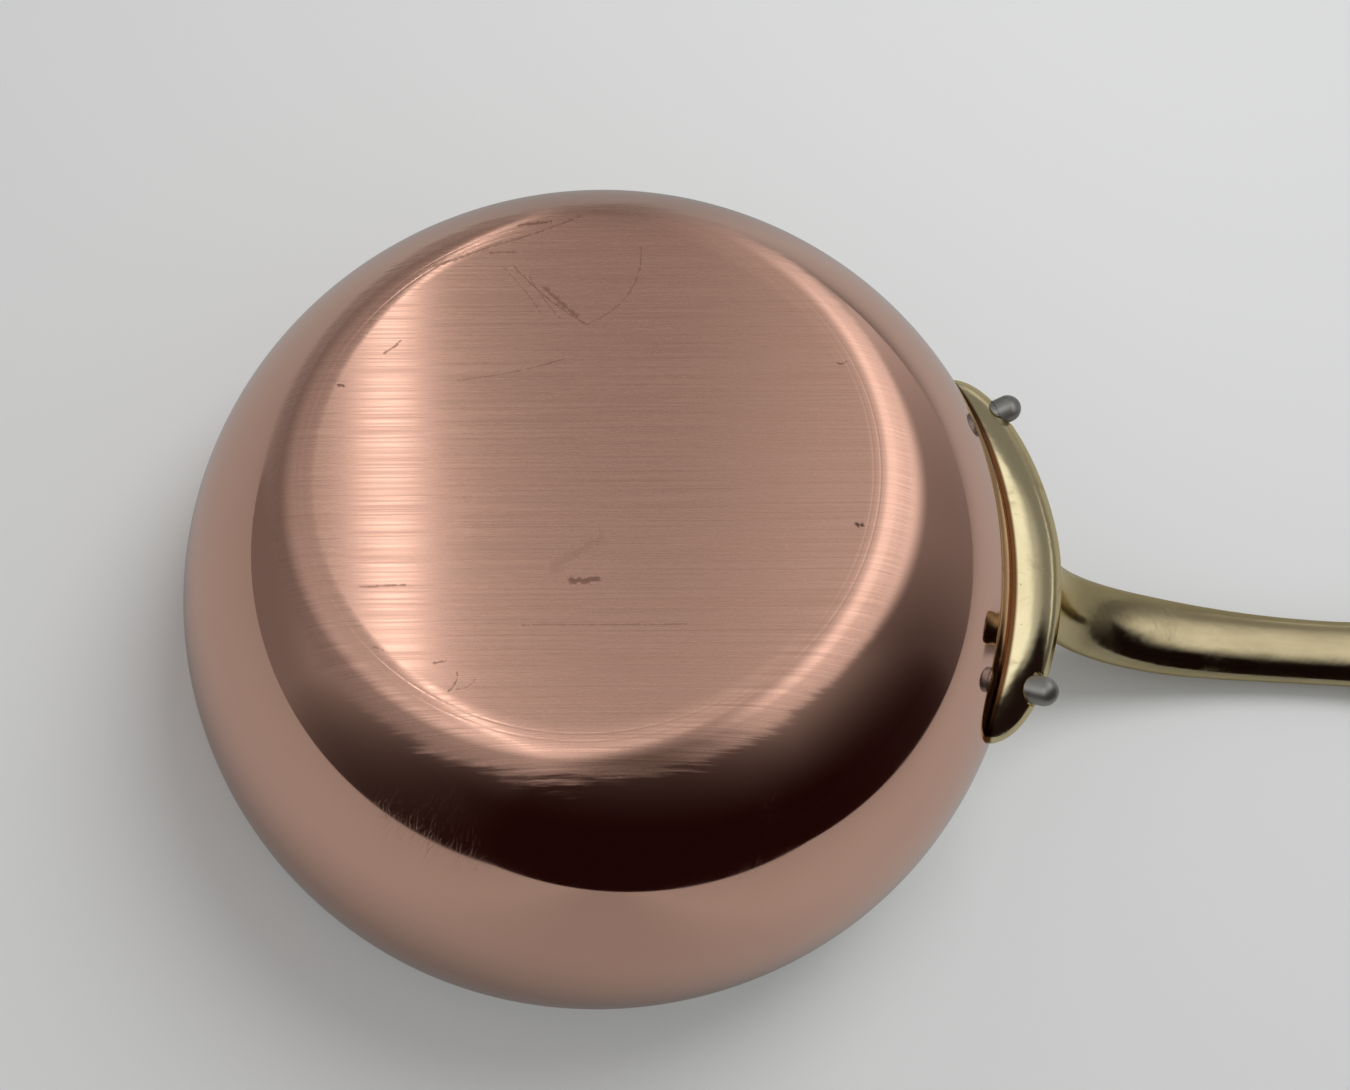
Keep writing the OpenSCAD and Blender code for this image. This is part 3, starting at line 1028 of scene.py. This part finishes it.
TABLE_GAP = 0.0002
RIM_TABLE_HALF = (0.60, 0.95, 1.0, 1.0)
RIM_TABLE_MIDDLE = (0.32, 0, -TABLE_GAP)
BASE_TABLE_HALF = 1.2
SENSOR_WIDTH = 36.0
CLIP_START = 0.01


def room_turn(lean):
    """The room round the upturned pan, which stands on its rim and the handle's end. Z is up there, and Y
    points away from the camera."""
    return Matrix.Rotation(math.pi, 3, "X") @ Matrix.Rotation(lean, 3, "Y")


def room_direction(room, azimuth, elevation):
    a, e = math.radians(azimuth), math.radians(elevation)
    return tuple(room @ Vector((math.cos(e) * math.cos(a), math.cos(e) * math.sin(a), math.sin(e))))


def handle_lean(bowl):
    """Angle between the rim and the floor that the rim and the handle's end both touch."""
    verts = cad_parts["cast_handle"].data.vertices
    return max(math.atan2(v.co.z - bowl.height, v.co.x + bowl.rim_radius) for v in verts)


def build_world(stage, room):
    """The room that metals see: pale, with a strip light above, bright at the right, and dark and open
    towards the camera. The floors get even daylight, and the camera sees the backdrop."""
    world = bpy.data.worlds.new("studio")
    bpy.context.scene.world = world
    world.cycles.sampling_method = "NONE"
    sheet = empty_tree(world)
    way = sheet.value("ShaderNodeTexCoord", output="Generated")

    def along(vector):
        return sheet.vector("DOT_PRODUCT", way, vector)

    def cover(level, share, other):
        return level * (1.0 - share) + share * other

    up = along(room_direction(room, 0, 90))
    right = along(room_direction(room, 0, 0))
    back = along(room_direction(room, 90, 0))
    side = along((1.0, 0.0, 0.0))
    near = sheet.largest(back * -1.0, 0.001)
    front_x = right / near
    front_y = up / near

    # Roof: even, lighter to both sides, with a narrow strip light
    roof = ROOF_LIGHT
    for start, end, gain in ROOF_RISES:
        roof = roof + side.smooth(start, end, 0.0, gain)
    strip = STRIP_LIGHT * side.smooth(-0.236, -0.220) * side.smooth(-0.190, -0.2015)
    level = sheet.math("MINIMUM", roof, LIGHT_LIMIT) + strip
    # Front: dim over the opening, with a soft light on either side of it
    lamps = sheet.math("MINIMUM", front_x.smooth(0.13, 1.86, 0.258, 2.1), LIGHT_LIMIT)
    lamps = lamps + front_x.smooth(-0.37, -0.57, 0.0, 1.25)
    level = cover(level, back.smooth(0.38, -0.55), lamps)
    # Right: the light ends above the table in a slanted edge, with a dim wall below
    foot = (up + back * 0.467).smooth(0.40, 0.56, 1.0, 0.0)
    below = back.smooth(-0.25, 0.30, 0.035, 0.17)
    level = cover(level, foot * right.smooth(-0.147, 1.05), below)
    # Left: a shaded side, down to the table
    shaded = right.smooth(0.48, -0.066) * up.smooth(1.15, -0.12)
    level = cover(level, shaded, SHADE_LIGHT)
    # The opening towards the camera
    opening = back.smooth(0.05, -0.05) * front_x.smooth(-4.35, -0.297)
    opening = opening * front_x.smooth(10.6, 0.936) * front_y.smooth(2.0, 0.2745)
    level = cover(level, opening, OPENING_LIGHT)
    # Below, past the floor: a broad light over the pan when it stands upright
    level = cover(level, up.smooth(-0.25, -0.60), UNDER_LIGHT)

    path = sheet.values("ShaderNodeLightPath")
    seen = sheet.warm_light(level, sheet.largest(level - WARMTH, WARM_LEAST))
    lit = sheet.mix(path["Is Glossy Ray"], (stage.daylight,) * 3, seen)
    shown = sheet.mix(path["Is Camera Ray"], lit, stage.backdrop)
    background = sheet.value("ShaderNodeBackground", {"Color": shown, "Strength": 1.0})
    sheet.feed(sheet.add("ShaderNodeOutputWorld").inputs["Surface"], background)


def floor_material(stage, name, under_rim):
    """Pale matt floor that shows its front alone. The one under the rim is open below the pan's mouth, and
    the camera doesn't see it at a low angle. The one under the base fades out to the backdrop."""
    material = bpy.data.materials.new(name)
    sheet = empty_tree(material)
    place = sheet.place()
    mottle = sheet.noise(place, 6.0) * 0.12
    tone = sheet.mix(mottle, stage.floor, toned(stage.floor, 0.93))
    path = sheet.values("ShaderNodeLightPath")
    glossy = path["Is Glossy Ray"]
    x, y, _ = sheet.parts(place)
    # Metals see a painted shaded copy of the floor: a share of its colour, darker in a band through the pan's middle
    # and graded along Y
    shade = y * 0.35 + abs(x).smooth(0.12, 0.02, 1.0, 0.8)
    mirrored = sheet.vector("SCALE", toned(stage.floor, stage.mirrored_floor), scale=shade)
    matt = sheet.value("ShaderNodeBsdfDiffuse", {"Color": sheet.mix(glossy, tone, mirrored)})
    hidden = sheet.value("ShaderNodeNewGeometry", output="Backfacing")
    reach = sheet.vector("LENGTH", sheet.plane(x, y))
    if under_rim:
        low_look = path["Is Camera Ray"] * sheet.math("GREATER_THAN", sheet.facing(), 0.49)
        mouth = glossy * reach.smooth(0.090, 0.088)
        hidden = sheet.largest(hidden, low_look, mouth)
    else:
        hidden = sheet.largest(hidden, reach.smooth(0.35, 0.95))
    sheet.put_out(hidden, matt, sheet.clear())
    return material


def lay_floor(stage, name, size, matrix, under_rim):
    bm = bmesh.new()
    bmesh.ops.create_grid(bm, x_segments=2, y_segments=2, size=size, matrix=matrix)
    floor = new_piece(name, mesh_from(bm, name))
    floor.data.materials.append(floor_material(stage, name, under_rim))
    floor.visible_shadow = floor.visible_diffuse = floor.visible_transmission = False
    floor.visible_glossy = under_rim


def card_material(name, right, middle):
    """A glowing card that only metals show, a painted reflection: dark in front, grey behind, with painted highlights
    beside the flange and over the grip. It fades out where it is seen edge-on."""
    material = bpy.data.materials.new(name)
    sheet = empty_tree(material)
    place = sheet.place()
    out = sheet.vector("DOT_PRODUCT", place, right) - middle
    _, y, _ = sheet.parts(place)
    back = y * -1.0
    front = back * -1.0

    def past(value, start, slope):
        return sheet.largest(value - start, 0.0) * slope

    left = 0.111 - past(front, 0.025, 0.92) - past(back, 0.029, 0.5)
    inside = (out - sheet.largest(left, 0.085)).smooth(-0.003, 0.004)
    inside = inside * out.smooth(0.61, 0.45)
    line = -0.034 + out.smooth(0.105, 0.135, 0.0, 0.018) + out.smooth(0.275, 0.31, 0.0, 0.039) + past(out, 0.33, 0.33)
    soft = out.smooth(0.11, 0.27, 0.007, 0.024)
    dark = ((back - line) / soft).smooth(1.0, -1.0)
    beside = out.smooth(0.140, 0.108, 0.0, 0.36) * back.smooth(0.045, 0.015)
    over = out.smooth(0.44, 0.30, 0.0, 0.85) * out.smooth(0.20, 0.25) * back.smooth(0.15, 0.03)
    grey = CARD_GREY + beside + over + out.smooth(0.20, 0.26, 0.0, 0.17)
    level = dark * (CARD_DARK - grey) + grey
    colour = sheet.warm_light(level, level - CARD_WARMTH)
    glow = sheet.value("ShaderNodeEmission", {"Color": colour, "Strength": 1.0})
    mirrored = sheet.value("ShaderNodeLightPath", output="Is Glossy Ray")
    there = inside * sheet.facing().smooth(0.93, 0.84) * mirrored
    sheet.put_out(there, sheet.clear(), glow)
    return material


def hold_card(bowl, rest, room):
    """Holds the card, a painted reflection, level over the handle of the upturned pan."""
    bm = bmesh.new()
    place = Matrix.Translation(CARD_MIDDLE) @ Matrix.Diagonal(CARD_HALF)
    bmesh.ops.create_grid(bm, x_segments=1, y_segments=1, size=1.0, matrix=rest @ place)
    card = new_piece("painted_reflection_card", mesh_from(bm, "painted_reflection_card"))
    right = room_direction(room, 0, 0)
    card.data.materials.append(card_material("painted_reflection_card", right, bowl.height * right[2]))
    card.visible_camera = card.visible_shadow = card.visible_diffuse = card.visible_transmission = False


def hang_lamp(name, power, size, place, target):
    lamp = bpy.data.lights.new(name, "AREA")
    lamp.energy, lamp.shape, lamp.size = power, "DISK", size
    holder = bpy.data.objects.new(name, lamp)
    bpy.context.scene.collection.objects.link(holder)
    holder.location = place
    holder.rotation_euler = (Vector(target) - Vector(place)).to_track_quat("-Z", "Y").to_euler()
    holder.visible_glossy = False


def aim_camera(stage, bowl):
    """Holds the camera over the upturned pan, so it looks up at the base in the pan's own frame."""
    over = Matrix.Rotation(math.pi, 3, "X") @ Matrix.Rotation(-stage.pan_turn, 3, "Z")
    pitch = Matrix.Rotation(math.pi / 2 - stage.camera_elevation, 3, "X")
    axes = over @ (pitch @ Matrix.Rotation(stage.camera_roll, 3, "Z"))
    lens = bpy.data.cameras.new("camera")
    lens.lens, lens.sensor_width, lens.clip_start = stage.lens, SENSOR_WIDTH, CLIP_START
    camera = bpy.data.objects.new("camera", lens)
    bpy.context.scene.collection.objects.link(camera)
    away = Vector((*stage.target, stage.camera_distance))
    camera.matrix_world = Matrix.Translation(Vector((0, 0, bowl.height)) + axes @ away) @ axes.to_4x4()
    bpy.context.scene.camera = camera


class PAN_OT_stage(bpy.types.Operator):
    """Sets the camera, the two pale floors, the card, the lamps and the room's light"""

    bl_idname = "saute_pan.stage"
    bl_label = "Stage"

    def execute(self, context):
        pan = settings()
        stage, bowl = pan.stage, pan.bowl
        aim_camera(stage, bowl)
        room = room_turn(handle_lean(bowl))
        build_world(stage, room)
        rest = Matrix.Translation((-bowl.rim_radius, 0, bowl.height)) @ room.to_4x4()
        under_rim = rest @ (Matrix.Translation(RIM_TABLE_MIDDLE) @ Matrix.Diagonal(RIM_TABLE_HALF))
        lay_floor(stage, "table_under_rim", 1.0, under_rim, True)
        lay_floor(stage, "table_under_base", BASE_TABLE_HALF, Matrix.Translation((0, 0, -TABLE_GAP)), False)
        hold_card(bowl, rest, room)

        def in_room(x, y, z):
            return rest @ Vector((bowl.rim_radius + x, y, z))

        hang_lamp("room_lamp", power=2.9, size=0.5, place=in_room(0.25, 0.35, 0.75), target=in_room(0, 0, 0))
        hang_lamp("upright_lamp", power=9.0, size=0.8, place=(-0.5, -0.4, 1.1), target=(0.05, 0, 0.03))
        context.scene.view_settings.view_transform = "Standard"
        return {"FINISHED"}


class PAN_PT_tools(bpy.types.Panel):
    """Lists the steps that build the pan"""

    bl_label = "Saute Pan"
    bl_idname = "PAN_PT_tools"
    bl_space_type = "VIEW_3D"
    bl_region_type = "UI"
    bl_category = "Saute Pan"

    def draw(self, context):
        for step in STEPS:
            self.layout.operator(step.bl_idname)


class PanSettings(bpy.types.PropertyGroup):
    bowl: PointerProperty(name="Bowl", description="Sizes of the bowl", type=BowlSettings)
    handle: PointerProperty(name="Handle", description="Sizes of the handle", type=HandleSettings)
    rivet: PointerProperty(name="Rivet", description="Sizes of the rivets", type=RivetSettings)
    finish: PointerProperty(name="Finish", description="Colours of the metals", type=FinishSettings)
    stage: PointerProperty(name="Stage", description="Camera, floors and light", type=StageSettings)


STEPS = (PAN_OT_stage, PAN_OT_finishes, PAN_OT_copper_bowl, PAN_OT_lining, PAN_OT_handle, PAN_OT_rivets)
GROUPS = (BowlSettings, HandleSettings, RivetSettings, FinishSettings, StageSettings, PanSettings)


def register():
    for kind in (*GROUPS, *STEPS, PAN_PT_tools):
        bpy.utils.register_class(kind)
    bpy.types.Scene.saute_pan = PointerProperty(name="Pan", description="Settings of the pan", type=PanSettings)


def unregister():
    del bpy.types.Scene.saute_pan
    for kind in reversed((*GROUPS, *STEPS, PAN_PT_tools)):
        bpy.utils.unregister_class(kind)


def main():
    register()
    bpy.ops.saute_pan.stage()
    bpy.ops.saute_pan.finishes()
    bpy.ops.saute_pan.copper_bowl()
    bpy.ops.saute_pan.lining()
    bpy.ops.saute_pan.handle()
    bpy.ops.saute_pan.rivets()


if __name__ == "__main__":
    main()
